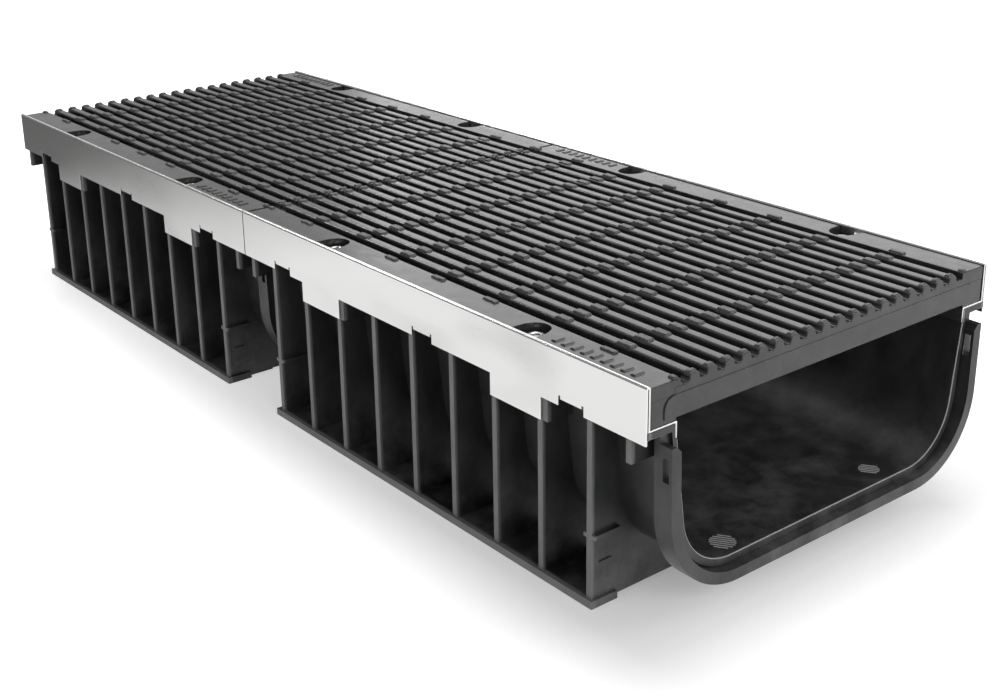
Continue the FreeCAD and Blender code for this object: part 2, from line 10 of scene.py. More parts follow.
import bmesh
import bpy
from mathutils import Matrix, Vector


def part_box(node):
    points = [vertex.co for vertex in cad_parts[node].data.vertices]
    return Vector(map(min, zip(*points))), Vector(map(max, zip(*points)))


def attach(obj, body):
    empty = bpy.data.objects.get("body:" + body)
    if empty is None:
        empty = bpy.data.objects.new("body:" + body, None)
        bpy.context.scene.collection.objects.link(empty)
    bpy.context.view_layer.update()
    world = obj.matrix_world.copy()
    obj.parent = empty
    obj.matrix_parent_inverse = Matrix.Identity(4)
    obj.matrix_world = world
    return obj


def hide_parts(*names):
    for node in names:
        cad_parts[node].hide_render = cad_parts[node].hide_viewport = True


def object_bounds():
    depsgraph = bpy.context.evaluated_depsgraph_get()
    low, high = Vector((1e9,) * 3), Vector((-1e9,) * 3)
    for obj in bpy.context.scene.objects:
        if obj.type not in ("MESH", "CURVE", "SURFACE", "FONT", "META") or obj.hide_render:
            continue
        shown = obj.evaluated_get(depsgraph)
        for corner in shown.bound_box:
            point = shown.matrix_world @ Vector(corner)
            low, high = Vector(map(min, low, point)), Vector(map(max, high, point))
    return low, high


bl_info = {
    "name": "Channel Drain",
    "version": (1, 0, 0),
    "blender": (4, 2, 0),
    "location": "View3D > Sidebar > Drain",
    "description": "Details, finishes and studio for a channel drain",
    "category": "Object",
}

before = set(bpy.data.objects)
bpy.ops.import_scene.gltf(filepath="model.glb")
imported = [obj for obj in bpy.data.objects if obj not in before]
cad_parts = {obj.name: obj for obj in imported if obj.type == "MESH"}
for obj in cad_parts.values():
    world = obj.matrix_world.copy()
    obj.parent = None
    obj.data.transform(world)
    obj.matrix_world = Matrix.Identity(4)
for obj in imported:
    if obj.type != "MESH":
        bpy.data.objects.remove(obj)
frame_low, frame_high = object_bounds()

ENDS = ("spigot_end", "socket_end")
MILLIMETRE = 0.001

# Limits of the mesh tools: distances in metres, angles, and parts of unit vectors
WELD = 0.00001
SAME_PLACE = 0.0001
FLAT = math.radians(1.0)
RIDGE = math.radians(40.0)
MITRE_LIMIT = 0.5
LENGTHWISE = 0.1

# Steps of the rounded shapes
SHOULDER_STEPS = 4
PANEL_STEPS = 6
POCKET_STEPS = 12
BOLT_STEPS = 48

# Where the moulding gets its painted sheen, from the drain's middle, and where it is dusty, from
# the ground, in metres
SHEEN_FROM = 0.1745
SHEEN_FULL = 0.1765
DUSTY_FULL = 0.004
DUSTY_UP_TO = 0.075

# Places along X, in metres, between which the floor changes
FADE_ENDS = (-0.95, -0.3)
LIFT_ENDS = (-0.3, 0.4)
# Distance from the drain, in metres, at which the floor's share of white starts to grow
LIFT_START = 0.01

# Shares of its width that the top of a grip and of a stud keep
GRIP_TOP = 0.66
STUD_TOP = 0.8
# Share of the end rounding by which the grips at a grate's ends stand back
END_GRIP_BACK = 0.4
# How much one grip differs from the next: shifts in metres, then shares of its three sizes
SHIFT_ALONG = 0.0003
SHIFT_ACROSS = 0.00012
LENGTH_SPREAD = (-0.04, 0.04)
WIDTH_SPREAD = (-0.03, 0.02)
HEIGHT_SPREAD = (-0.08, 0.0)

# A bolt head's top: its round crown as a share of the head, and its dish as shares of the crown
CROWN = 0.93
DISH_RIM = 0.78
DISH_FLOOR = 0.66

# Hatched floor marks: in from the socket end, across the channel, and wide, in metres
FLOOR_MARKS = ((0.015, -0.09, 0.019), (0.018, 0.074, 0.016))
MARK_TURN = math.radians(35.0)

# The lights: power setting, place, point that it faces, and two sizes, in metres
LIGHTS = {
    "overhead": ("key_power", (-0.1, 0.6, 1.8), (0.0, 0.0, 0.0), (1.3, 0.9)),
    "small": ("spark_power", (-1.45, 0.0, 1.45), (0.0, 0.0, 0.1), (0.4, 0.4)),
    "behind": ("back_power", (-1.15, 1.55, 1.0), (0.1, 0.0, 0.1), (1.6, 1.0)),
    "beside": ("side_power", (0.2, -2.0, 0.9), (0.0, 0.0, 0.1), (1.8, 1.2)),
    "end": ("end_power", (1.4, 1.5, 1.1), (0.5, 0.0, 0.1), (1.2, 1.0)),
    "front": ("front_power", (1.9, -0.3, 0.9), (0.5, 0.0, 0.1), (1.0, 0.8)),
    "low": ("low_power", (-2.1, 0.7, 0.75), (-0.2, 0.0, 0.15), (1.4, 0.7)),
}
# Middle of the studio floor to its edges, in metres
FLOOR_REACH = 6.0
WHITE = (1.0, 1.0, 1.0)
BLACK = (0.0, 0.0, 0.0)

# The photo's camera: its place in metres, the way it looks and its upper side
CAMERA_PLACE = (1.0780, -0.7589, 0.5428)
CAMERA_LOOK = (-0.7412, 0.5922, -0.3161)
CAMERA_UP = (-0.2376, 0.2090, 0.9486)
SENSOR_WIDTH = 36.0


# Sizes and colours that a user would change
def length(name, description, default):
    """A length setting in millimetres, kept in metres."""
    return bpy.props.FloatProperty(
        name=name, description=description, default=default * MILLIMETRE,
        min=0.0, precision=5, unit="LENGTH")


def colour(name, description, default):
    """A colour setting."""
    return bpy.props.FloatVectorProperty(
        name=name, description=description, default=default, subtype="COLOR",
        size=3, min=0.0, max=1.0)


class DrainGrateSettings(bpy.types.PropertyGroup):
    """Sizes of one cast grate."""

    bars: bpy.props.IntProperty(
        name="Bars", description="Bars in one grate", default=18, min=2)
    bar_width: length("Bar width", "Width of a bar at its widest", 8.8)
    bar_top: length("Bar top", "Width of a bar's flat top", 5.0)
    bar_foot: length("Bar foot", "Width of a bar at its lower edge", 6.0)
    bar_shoulder: length("Shoulder", "Height of the rounded shoulder of a bar", 1.7)
    bar_rise: length("Bar rise", "Seat to the lower edge of the bars", 5.4)
    edge_slot: length("Edge slot", "Slot between the outer bars and the side plates", 8.4)
    plate_width: length("Plate width", "Width of a side plate", 25.5)
    plate_depth: length("Plate depth", "Thickness of a side plate", 7.5)
    plate_round: length("Plate rounding", "Rounding of a side plate's upper edges", 0.9)
    wall_lap: length("Wall lap", "How far the pockets' walls reach in past the side beams", 1.2)
    beam_width: length("Beam width", "Width of the beam under a side plate", 22.6)
    beam_round: length("Beam rounding", "Rounding of the side beams' edges", 0.5)
    grip_height: length("Grip height", "Height of a raised grip", 1.6)
    grip_length: length("Grip length", "Length of a raised grip", 15.4)
    grip_rows: bpy.props.IntProperty(
        name="Grip rows", description="Spaces between the rows of grips", default=8, min=1)
    grip_round: length("Grip rounding", "Rounding of a grip's upper edges", 0.7)
    bar_end_round: length("Bar end rounding", "Rounding of a grip at a bar's end", 1.1)
    plate_end_round: length("Plate end rounding", "Rounding of a grip at a plate's end", 0.9)
    plate_grip_width: length("Plate grip", "Width of a grip on a side plate", 6.0)
    plate_grip_gap: length("Plate grip gap", "Side plate's inner edge to its grips", 0.4)
    studs: bpy.props.IntProperty(
        name="Studs", description="Studs in a row on a side plate", default=9, min=1)
    stud_length: length("Stud length", "Size of a stud along the grate", 5.6)
    stud_width: length("Stud width", "Size of a stud across the grate", 10.5)
    stud_height: length("Stud height", "Size of a stud upwards", 1.6)
    stud_round: length("Stud rounding", "Rounding of a stud's upper edges", 0.5)
    stud_sink: length("Stud sink", "How deep a stud stands in the side plate", 0.6)
    stud_pitch: length("Stud pitch", "Spacing of the studs", 9.5)
    stud_shift: length("Stud shift", "Middle of the plate beside its grips to the studs", 0.5)
    stud_near: length("Near studs", "Grate's spigot end to the first stud of a row", 22.0)
    stud_far: length("Far studs", "Grate's socket end to the first stud of a row", 98.0)
    comb_drop: length("Comb drop", "Top to the foot of the open slots at the ends", 5.0)
    comb_lap: length("Comb lap", "How far the end beams run into the side beams", 2.0)
    end_beam: length("End beam", "Thickness of the end beams", 8.0)
    notch_round: length("Notch radius", "Corner radius at the foot of an open slot", 2.6)
    end_round: length("End rounding", "Rounding round the outer face of an end beam", 0.8)
    end_setback: length("End setback", "Side plates' ends behind the end beams' faces", 0.4)
    panel_proud: length("Panel", "How far the end panel stands out of the end beam", 0.7)
    panel_round: length("Panel radius", "Radius of the end panel's upper corners", 9.0)
    panel_lift: length("Panel lift", "Underside of the end beam to the end panel", 1.4)
    panel_drop: length("Panel drop", "Foot of the open slots to the end panel", 5.0)
    panel_lap: length("Panel lap", "How far the end panel runs into the end beam", 1.0)
    panel_edge: length("Panel edge", "Rounding round the end panel's face", 0.5)
    end_gap: length("End gap", "Seat to the underside of the end beams", 2.0)
    rib_height: length("Cross rib height", "Height of a cross rib", 13.0)
    rib_width: length("Cross rib width", "Thickness of a cross rib", 6.0)
    rib_round: length("Cross rib rounding", "Rounding of a cross rib's edges", 0.6)
    pocket_width: length("Pocket width", "Width of a bolt pocket", 24.0)
    pocket_depth: length("Pocket depth", "Depth of a bolt pocket", 10.0)
    bolt_spacing: length("Bolt spacing", "Spacing of the bolts along a grate", 250.0)
    bolt_inset: length("Bolt inset", "Rail face to the middle of the bolts", 16.0)


class DrainBoltSettings(bpy.types.PropertyGroup):
    """Sizes of one bolt."""

    head_width: length("Head width", "Width across the flats of the head", 13.0)
    head_height: length("Head height", "Height of the head", 5.3)
    shank_width: length("Shank width", "Diameter of the shank", 8.0)
    chamfer: length("Chamfer", "Height of the chamfer round the head's top", 1.1)
    dish: length("Dish", "Depth of the dish in the head's top", 0.5)
    rim_drop: length("Rim drop", "How far the head's top falls to the rim of the dish", 0.1)
    tip_chamfer: length("Tip chamfer", "Chamfer round the shank's tip", 0.8)


class DrainChannelSettings(bpy.types.PropertyGroup):
    """Sizes of the finer shapes of the mouldings and rails."""

    moulded_edge: length("Moulded edge", "Rounding of the moulding's edges", 0.5)
    sheet_edge: length("Sheet edge", "Rounding of the rails' cut edges", 0.3)
    rail_gap: length("Rail gap", "Gap between two rails that meet", 1.4)
    # The rim is the channel's inner end edge, which carries a painted highlight
    rim_depth: length("Rim depth", "Collar's end to the inner end edge of the channel", 8.0)
    rim_width: length("Rim width", "Width of the worn inner end edge of the channel", 0.65)
    foot_height: length("Foot height", "Thickness of the foot strips", 6.0)
    foot_inner: length("Foot's inner edge", "Middle of the channel to the broad feet", 130.0)
    foot_outer: length("Foot's outer edge", "Middle of the channel to the feet's far edges", 158.0)
    foot_rise: length("Foot rise", "Ground to the underside of the broad feet", 0.2)
    foot_drop: length("Foot drop", "Top of the foot strips to the top of the broad feet", 0.1)
    root_thickness: length("Root thickness", "Thickness of a rib's root", 4.8)
    root_sink: length("Root sink", "How deep the roots stand in the feet", 2.0)
    root_inset: length("Root inset", "Foot's inner edge to the inner edge of the roots", 1.0)
    root_outer: length("Root's outer edge", "Middle of the channel to the roots' far edges", 172.0)
    root_low: length("Root's inner height", "Ground to the top of a root's inner edge", 42.0)
    root_high: length("Root's height", "Ground to the top of a root", 62.0)
    root_slope: length("Root's slope", "Middle of the channel to the top of a root's slope", 146.0)
    dash_middle: length("Dash", "Middle of the channel to the dash on the last rib", 165.0)
    dash_width: length("Dash width", "Width of the dash on the last rib", 11.0)
    dash_low: length("Dash's lower edge", "Ground to the dash's lower edge", 32.0)
    dash_high: length("Dash's upper edge", "Ground to the dash's upper edge", 33.3)
    dash_reach: length("Dash's face", "Middle of the last rib to the dash's face", 3.5)
    dash_round: length("Dash rounding", "Rounding of the dash's edges", 0.3)
    rib_first: length("First rib", "Module's end to the middle of the first rib", 45.0)
    rib_pitch: length("Rib pitch", "Spacing of the ribs", 50.0)
    ribs: bpy.props.IntProperty(name="Ribs", description="Ribs along one module", default=9)
    floor_height: length("Floor height", "Ground to the channel's floor", 34.5)
    mark_pitch: length("Mark pitch", "Spacing of the lines of a hatched floor mark", 2.7)
    mark_line: length("Mark line", "Width of a line of a hatched floor mark", 0.9)
    mark_rise: length("Mark rise", "How far a floor mark stands out of the floor", 0.4)


class DrainFinishSettings(bpy.types.PropertyGroup):
    """Colours of the finishes."""

    iron: colour("Iron", "Black coating of the grates", (0.026, 0.026, 0.026))
    grit: colour("Grit", "Gritty tops of the raised grips", (0.026, 0.026, 0.026))
    steel: colour("Steel", "Stainless steel of the rails", (0.8, 0.8, 0.79))
    plastic: colour("Plastic", "Black moulding", (0.018, 0.0182, 0.019))
    # Painted sheen: the ribs' outer edges are coloured lighter for the light that they catch
    painted_sheen: colour("Moulding sheen", "Outer edges of the moulding's ribs", (0.16, 0.16, 0.162))
    dust: colour("Dust", "Dust low on the mouldings", (0.12, 0.119, 0.115))
    # This pale colour also paints the highlight on the channel's inner end edge
    scuff: colour("Scuff", "Worn lines of the floor marks", (0.36, 0.36, 0.36))
    bolt: colour("Bolt", "Bright steel of the bolts", (0.72, 0.72, 0.71))
    floor: colour("Floor", "Studio floor", (0.92, 0.92, 0.92))


class DrainStageSettings(bpy.types.PropertyGroup):
    """Camera and lights."""

    lens: bpy.props.FloatProperty(
        name="Lens", description="Focal length on a 36 mm sensor", default=52.33)
    shift: bpy.props.FloatProperty(
        name="Shift", description="Vertical shift of the camera", default=-0.1)
    key_power: bpy.props.FloatProperty(
        name="Key light", description="Power of the overhead light in watts", default=14.0)
    spark_power: bpy.props.FloatProperty(
        name="Small light", description="Power of the small light that draws crisp shadows",
        default=8.0)
    back_power: bpy.props.FloatProperty(
        name="Back light", description="Power of the light behind the drain", default=8.0)
    side_power: bpy.props.FloatProperty(
        name="Side light", description="Power of the light in front of the drain", default=7.0)
    end_power: bpy.props.FloatProperty(
        name="End light", description="Power of the light off the socket end", default=12.0)
    front_power: bpy.props.FloatProperty(
        name="Front light", description="Power of the light that faces the socket end",
        default=11.0)
    low_power: bpy.props.FloatProperty(
        name="Low light", description="Power of the low light off the spigot end", default=1.5)
    sky: bpy.props.FloatProperty(
        name="Surroundings", description="Light that the white surroundings give", default=0.25)
    floor_lift: bpy.props.FloatProperty(
        name="Floor lift", description="Share of plain white in the floor at the drain",
        default=0.15, min=0.0, max=1.0)
    floor_end_lift: bpy.props.FloatProperty(
        name="Spigot floor lift", description="Further share of plain white at the spigot end",
        default=0.22, min=0.0, max=1.0)
    floor_far_lift: bpy.props.FloatProperty(
        name="Far floor lift", description="Share of plain white in the floor away from the drain",
        default=0.85, min=0.0, max=1.0)
    floor_metal_lift: bpy.props.FloatProperty(
        name="Mirrored floor lift", description="Share of plain white in the floor in the metal",
        default=0.24, min=0.0, max=1.0)
    floor_reach: length("Shadow reach", "Width of the floor round the drain that keeps shadow",
                        200.0)
    floor_white: bpy.props.FloatProperty(
        name="Floor white", description="Strength of the plain white in the floor", default=1.8)
    floor_fade: bpy.props.FloatProperty(
        name="Floor fade", description="Brightness of the floor's far end in the metal",
        default=0.12, min=0.0, max=1.0)


# Mesh tools
def skin(bm, loops):
    """Join loops of equally many points one after the other and close both ends."""
    rings = [[bm.verts.new(point) for point in loop] for loop in loops]
    count = len(rings[0])
    for first, second in zip(rings, rings[1:]):
        for i in range(count):
            j = (i + 1) % count
            bm.faces.new((first[i], first[j], second[j], second[i]))
    bm.faces.new(list(reversed(rings[0])))
    bm.faces.new(rings[-1])


def inset(outline, distance):
    """A closed anticlockwise outline moved inwards."""
    corners = [Vector(point) for point in outline]
    moved = []
    for i, corner in enumerate(corners):
        arriving = (corner - corners[i - 1]).normalized()
        leaving = (corners[(i + 1) % len(corners)] - corner).normalized()
        side = Vector((-arriving.y, arriving.x))
        middle = (side + Vector((-leaving.y, leaving.x))).normalized()
        moved.append(corner + middle * distance / max(middle.dot(side), MITRE_LIMIT))
    return moved


def plank(bm, outline, inner, outer, edge, steps=3):
    """Carry a (y, z) outline along X and round off the edges of its outer face."""
    way = 1 if outer > inner else -1
    loops = [[(inner, y, z) for y, z in outline]]
    for step in range(steps + 1):
        turn = math.pi / 2 * step / steps
        x = outer - way * edge * (1 - math.sin(turn))
        loops.append([(x, y, z) for y, z in inset(outline, edge * (1 - math.cos(turn)))])
    skin(bm, loops)


def arc(centre, radius, start, finish, steps=4):
    """Points of an arc between two angles in degrees."""
    turns = [math.radians(start + (finish - start) * step / steps) for step in range(steps + 1)]
    return [(centre[0] + radius * math.cos(turn), centre[1] + radius * math.sin(turn))
            for turn in turns]


def round_edges(bm, edges, width, **options):
    """Round edges of a mesh under construction."""
    bmesh.ops.bevel(bm, geom=edges, offset=width, segments=2, profile=0.5, affect="EDGES",
                    **options)


def slab(bm, outline, low, high, edge):
    """Raise a closed (x, y) outline from low to high and round its upper edges."""
    bottom = [bm.verts.new((x, y, low)) for x, y in outline]
    top = [bm.verts.new((x, y, high)) for x, y in outline]
    count = len(outline)
    for i in range(count):
        j = (i + 1) % count
        bm.faces.new((bottom[i], bottom[j], top[j], top[i]))
    bm.faces.new(list(reversed(bottom)))
    bm.faces.new(top)
    rim = [bm.edges.get((top[i], top[(i + 1) % count])) for i in range(count)]
    if edge:
        round_edges(bm, rim, edge)


def block(bm, low, high, edge=0.0):
    """A box between two corners, with its edges rounded."""
    low, high = Vector(low), Vector(high)
    size = Matrix.Diagonal((*(high - low), 1.0))
    made = bmesh.ops.create_cube(bm, size=1.0, matrix=Matrix.Translation((low + high) / 2) @ size)
    if edge:
        edges = list({item for vert in made["verts"] for item in vert.link_edges})
        round_edges(bm, edges, edge)


def finish_piece(bm, name, material, nodes=(), sharp=35.0):
    """Turn a mesh under construction into a named piece of the drain."""
    bmesh.ops.recalc_face_normals(bm, faces=bm.faces)
    mesh = bpy.data.meshes.new(name)
    bm.to_mesh(mesh)
    bm.free()
    mesh.shade_smooth()
    mesh.set_sharp_from_angle(angle=math.radians(sharp))
    mesh.materials.append(material)
    piece = bpy.data.objects.new(name, mesh)
    bpy.context.scene.collection.objects.link(piece)
    even = piece.modifiers.new("even_normals", "WEIGHTED_NORMAL")
    even.keep_sharp = True
    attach(piece, "root")
    if nodes:
        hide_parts(*nodes)
    return piece


def highlight_rim(bm, x, width, middle_height):
    """Round the inner edge of a moulding's end face at x and give it the second material, a painted
    highlight.
    """
    bm.normal_update()
    painted_sheen = []
    for item in bm.edges:
        if not item.is_manifold or any(abs(vert.co.x - x) > SAME_PLACE for vert in item.verts):
            continue
        wall = min(item.link_faces, key=lambda face: abs(face.normal.x))
        place = (item.verts[0].co + item.verts[1].co) / 2
        inward = Vector((0.0, -place.y, middle_height - place.z))
        if abs(wall.normal.x) < LENGTHWISE and wall.normal.dot(inward) > 0:
            painted_sheen.append(item)
    round_edges(bm, painted_sheen, width, material=1)


def soft_copy(node, name, material, edge, shorter=0.0, reshape=None):
    """A copy of a node's mesh, reshaped and with rounded edges, that replaces the node."""
    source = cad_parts[node]
    bm = bmesh.new()
    bm.from_mesh(source.data)
    bm.transform(source.matrix_world)
    bmesh.ops.remove_doubles(bm, verts=bm.verts, dist=WELD)
    bmesh.ops.dissolve_limit(bm, angle_limit=FLAT, verts=bm.verts, edges=bm.edges)
    low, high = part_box(node)
    middle = (low.x + high.x) / 2
    for vert in bm.verts:
        vert.co.x = middle + (vert.co.x - middle) * (1 - shorter / (high.x - low.x))
    if reshape:
        reshape(bm)
    ridges = [item for item in bm.edges if item.is_manifold and item.calc_face_angle() > RIDGE]
    round_edges(bm, ridges, edge, clamp_overlap=True)
    return finish_piece(bm, name, material, [node])


# Materials
class Nodes:
    """Builds a material's nodes with short calls."""

    def __init__(self, name):
        self.material = bpy.data.materials.new(name)
        self.material.use_nodes = True
        self.tree = self.material.node_tree
        self.tree.nodes.clear()
        self.output = self.tree.nodes.new("ShaderNodeOutputMaterial")
        self.shader = self.tree.nodes.new("ShaderNodeBsdfPrincipled")
        self.link(self.shader.outputs["BSDF"], self.output.inputs["Surface"])
        self.place = self.new("TexCoord").outputs["Object"]

    def new(self, kind, operation=None):
        """A new node, set to one operation where it has several."""
        node = self.tree.nodes.new(f"ShaderNode{kind}")
        if operation:
            node.operation = operation
        return node

    def link(self, source, target):
        """Join two sockets."""
        self.tree.links.new(source, target)

    def stretched(self, scale):
        """Object coordinates scaled by three numbers."""
        node = self.new("Mapping")
        node.inputs["Scale"].default_value = scale
        self.link(self.place, node.inputs["Vector"])
        return node.outputs["Vector"]

    def noise(self, scale, detail=3.0, roughness=0.5, stretch=None):
        """Noise, its scale in features a metre."""
        node = self.new("TexNoise")
        node.inputs["Scale"].default_value = scale
        node.inputs["Detail"].default_value = detail
        node.inputs["Roughness"].default_value = roughness
        source = self.stretched(stretch) if stretch else self.place
        self.link(source, node.inputs["Vector"])
        return node.outputs["Fac"]

    def spread(self, value, low, high, from_low=0.3, from_high=0.7):
        """Map a value from one range to another."""
        node = self.new("MapRange")
        node.inputs["From Min"].default_value = from_low
        node.inputs["From Max"].default_value = from_high
        node.inputs["To Min"].default_value = low
        node.inputs["To Max"].default_value = high
        self.link(value, node.inputs["Value"])
        return node.outputs["Result"]

    def along(self, axis):
        """The object coordinate along X, Y or Z."""
        node = self.new("SeparateXYZ")
        self.link(self.place, node.inputs["Vector"])
        return node.outputs[axis]

    def reckon(self, operation, *values):
        """The result of a math operation on one or two values."""
        node = self.new("Math", operation)
        for value, socket in zip(values, node.inputs):
            self.link(value, socket)
        return node.outputs[0]

    def times(self, first, second):
        """The product of two values."""
        return self.reckon("MULTIPLY", first, second)

    def blend(self, value, first, second):
        """Mix two colours by a value."""
        node = self.new("Mix")
        node.data_type = "RGBA"
        for socket, end in ((node.inputs[6], first), (node.inputs[7], second)):
            if isinstance(end, bpy.types.NodeSocket):
                self.link(end, socket)
            else:
                socket.default_value = (*end, 1.0)
        self.link(value, node.inputs[0])
        return node.outputs[2]

    def bump(self, value, distance, strength=1.0, base=None):
        """Bump from a height value, its distance in metres."""
        node = self.new("Bump")
        node.inputs["Distance"].default_value = distance
        node.inputs["Strength"].default_value = strength
        self.link(value, node.inputs["Height"])
        if base:
            self.link(base, node.inputs["Normal"])
        return node.outputs["Normal"]

    def set(self, socket, value):
        """Set or link one input of the shader."""
        target = self.shader.inputs[socket]
        if isinstance(value, bpy.types.NodeSocket):
            self.link(value, target)
        else:
            target.default_value = value


def shade(rgb, factor):
    """A colour made lighter or darker."""
    return tuple(min(1.0, channel * factor) for channel in rgb)


def make_iron(rgb):
    """Semi-gloss black coating over a grainy casting."""
    nodes = Nodes("coated_cast_iron")
    patches = nodes.noise(60.0, 4.0)
    nodes.set("Base Color", nodes.blend(nodes.spread(patches, 0.0, 1.0), shade(rgb, 0.7),
                                        shade(rgb, 1.4)))
    nodes.set("Roughness", nodes.spread(nodes.noise(90.0, 2.0), 0.22, 0.28))
    lumps = nodes.bump(nodes.noise(110.0, 2.0), 0.0006, 0.14)
    nodes.set("Normal", nodes.bump(nodes.noise(1100.0, 2.0, 0.5), 0.0001, 0.05, lumps))
    nodes.set("IOR", 1.55)
    return nodes.material


def make_grit(rgb):
    """The same coating over coarse cast grit."""
    nodes = Nodes("gritty_cast_iron")
    grains = nodes.noise(700.0, 3.0, 0.6)
    nodes.set("Base Color", nodes.blend(nodes.spread(grains, 0.0, 1.0), rgb, shade(rgb, 2.2)))
    nodes.set("Roughness", nodes.spread(nodes.noise(500.0, 3.0, 0.6), 0.2, 0.45))
    nodes.set("Normal", nodes.bump(grains, 0.0006, 0.55))
    nodes.set("IOR", 1.55)
    return nodes.material


def make_steel(rgb):
    """Stainless sheet with fine rolling lines and a few soft smears."""
    nodes = Nodes("stainless_sheet")
    smears = nodes.noise(9.0, 1.5, 0.4, (1.0, 1.0, 2.5))
    nodes.set("Base Color", nodes.blend(nodes.spread(smears, 0.0, 1.0, 0.5, 0.8),
                                        rgb, shade(rgb, 0.82)))
    nodes.set("Metallic", 1.0)
    lines = nodes.noise(500.0, 3.0, 0.6, (0.02, 1.0, 1.0))
    nodes.set("Roughness", nodes.spread(smears, 0.16, 0.3))
    nodes.set("Normal", nodes.bump(lines, 0.00003, 0.4))
    return nodes.material


def make_plastic(rgb):
    """Black moulded polypropylene with a satin skin, flow marks, a little dust and a painted sheen
    on the ribs' outer edges.
    """
    nodes = Nodes("moulded_polypropylene")
    flow = nodes.noise(16.0, 6.0, 0.7, (1.0, 1.0, 0.5))
    skin_colour = nodes.blend(nodes.spread(flow, 0.0, 1.0, 0.42, 0.75),
                              shade(rgb, 0.7), shade(rgb, 2.8))
    # Painted sheen: away from the drain's middle the ribs' outer edges turn lighter for the light
    # that they catch
    away = nodes.reckon("ABSOLUTE", nodes.along("Y"))
    edges = nodes.spread(away, 0.0, 1.0, SHEEN_FROM, SHEEN_FULL)
    edge_sheen = nodes.times(edges, nodes.spread(nodes.noise(60.0, 4.0, 0.6), 0.75, 1.0))
    low = nodes.spread(nodes.along("Z"), 1.0, 0.0, DUSTY_FULL, DUSTY_UP_TO)
    dusty = nodes.times(low, nodes.spread(nodes.noise(26.0, 6.0, 0.7), 0.0, 1.0, 0.44, 0.72))
    finish = bpy.context.scene.drain_finish
    skin_colour = nodes.blend(dusty, skin_colour, finish.dust)
    nodes.set("Base Color", nodes.blend(edge_sheen, skin_colour, finish.painted_sheen))
    nodes.set("Roughness", nodes.spread(nodes.noise(35.0, 4.0, 0.6), 0.34, 0.52))
    waves = nodes.bump(nodes.noise(22.0, 2.0), 0.0012, 0.2)
    nodes.set("Normal", nodes.bump(nodes.noise(1600.0, 3.0, 0.6), 0.00006, 0.5, waves))
    nodes.set("IOR", 1.56)
    return nodes.material


def make_pale_marks_and_rim_highlight(rgb):
    """Matt pale moulding: the scuffed lines of the floor marks, and the painted highlight on the
    channel's inner end edge.
    """
    nodes = Nodes("scuffed_polypropylene")
    nodes.set("Base Color", nodes.blend(nodes.noise(700.0, 3.0), shade(rgb, 0.6), shade(rgb, 1.4)))
    nodes.set("Roughness", nodes.spread(nodes.noise(300.0, 2.0), 0.6, 0.8))
    return nodes.material


def make_bolt_steel(rgb):
    """Bright turned steel."""
    nodes = Nodes("bright_bolt_steel")
    nodes.set("Base Color", (*rgb, 1.0))
    nodes.set("Metallic", 1.0)
    nodes.set("Roughness", nodes.spread(nodes.noise(400.0, 3.0), 0.16, 0.34))
    nodes.set("Normal", nodes.bump(nodes.noise(900.0, 2.0), 0.00004, 0.4))
    return nodes.material


def past_footprint(nodes):
    """How far a point of the floor lies from the drain's footprint, in metres."""
    absolute = nodes.new("VectorMath", "ABSOLUTE")
    past = nodes.new("VectorMath", "SUBTRACT")
    outside = nodes.new("VectorMath", "MAXIMUM")
    distance = nodes.new("VectorMath", "LENGTH")
    nodes.link(nodes.place, absolute.inputs[0])
    nodes.link(absolute.outputs["Vector"], past.inputs[0])
    past.inputs[1].default_value = (frame_high.x, frame_high.y, 0.0)
    nodes.link(past.outputs["Vector"], outside.inputs[0])
    nodes.link(outside.outputs["Vector"], distance.inputs[0])
    return distance.outputs["Value"]


def make_floor(rgb):
    """Matt studio floor, partly plain white to the camera and the metal.

    To the camera the white share grows with the distance from the drain, and near the drain
    towards the spigot end, where it paints light over the drain's shadow. In the metal the
    floor fades towards the spigot end, a painted shade in the rails' reflections.
    """
    stage = bpy.context.scene.drain_stage
    nodes = Nodes("studio_floor")
    path = nodes.new("LightPath")
    along = nodes.along("X")
    fade = nodes.spread(along, 1.0 - stage.floor_fade, 0.0, *FADE_ENDS)
    faded = nodes.times(fade, path.outputs["Is Glossy Ray"])
    nodes.set("Base Color", nodes.blend(faded, rgb, BLACK))
    nodes.set("Roughness", 0.6)
    white = nodes.new("Emission")
    nodes.link(nodes.blend(faded, WHITE, BLACK), white.inputs["Color"])
    white.inputs["Strength"].default_value = stage.floor_white
    near = nodes.spread(along, stage.floor_lift + stage.floor_end_lift, stage.floor_lift,
                        *LIFT_ENDS)
    lift = nodes.spread(past_footprint(nodes), 0.0, stage.floor_far_lift, LIFT_START,
                        stage.floor_reach)
    nodes.link(near, lift.node.inputs["To Min"])
    watched = nodes.times(path.outputs["Is Camera Ray"], lift)
    mirrored = nodes.spread(path.outputs["Is Glossy Ray"], 0.0, stage.floor_metal_lift, 0.0, 1.0)
    mix = nodes.new("MixShader")
    nodes.link(nodes.reckon("MAXIMUM", watched, mirrored), mix.inputs[0])
    nodes.link(nodes.shader.outputs["BSDF"], mix.inputs[1])
    nodes.link(white.outputs["Emission"], mix.inputs[2])
    nodes.link(mix.outputs["Shader"], nodes.output.inputs["Surface"])
    return nodes.material


def material(kind):
    """The material of one kind, made when first asked for."""
    makers = {
        "iron": (make_iron, "coated_cast_iron"),
        "grit": (make_grit, "gritty_cast_iron"),
        "steel": (make_steel, "stainless_sheet"),
        "plastic": (make_plastic, "moulded_polypropylene"),
        "scuff": (make_pale_marks_and_rim_highlight, "scuffed_polypropylene"),
        "bolt": (make_bolt_steel, "bright_bolt_steel"),
        "floor": (make_floor, "studio_floor"),
    }
    maker, name = makers[kind]
    found = bpy.data.materials.get(name)
    if found:
        return found
    return maker(getattr(bpy.context.scene.drain_finish, kind))


def dress_node(node, kind):
    """Give a node of the frame its finished material."""
    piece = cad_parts[node]
    piece.data.materials.clear()
    piece.data.materials.append(material(kind))


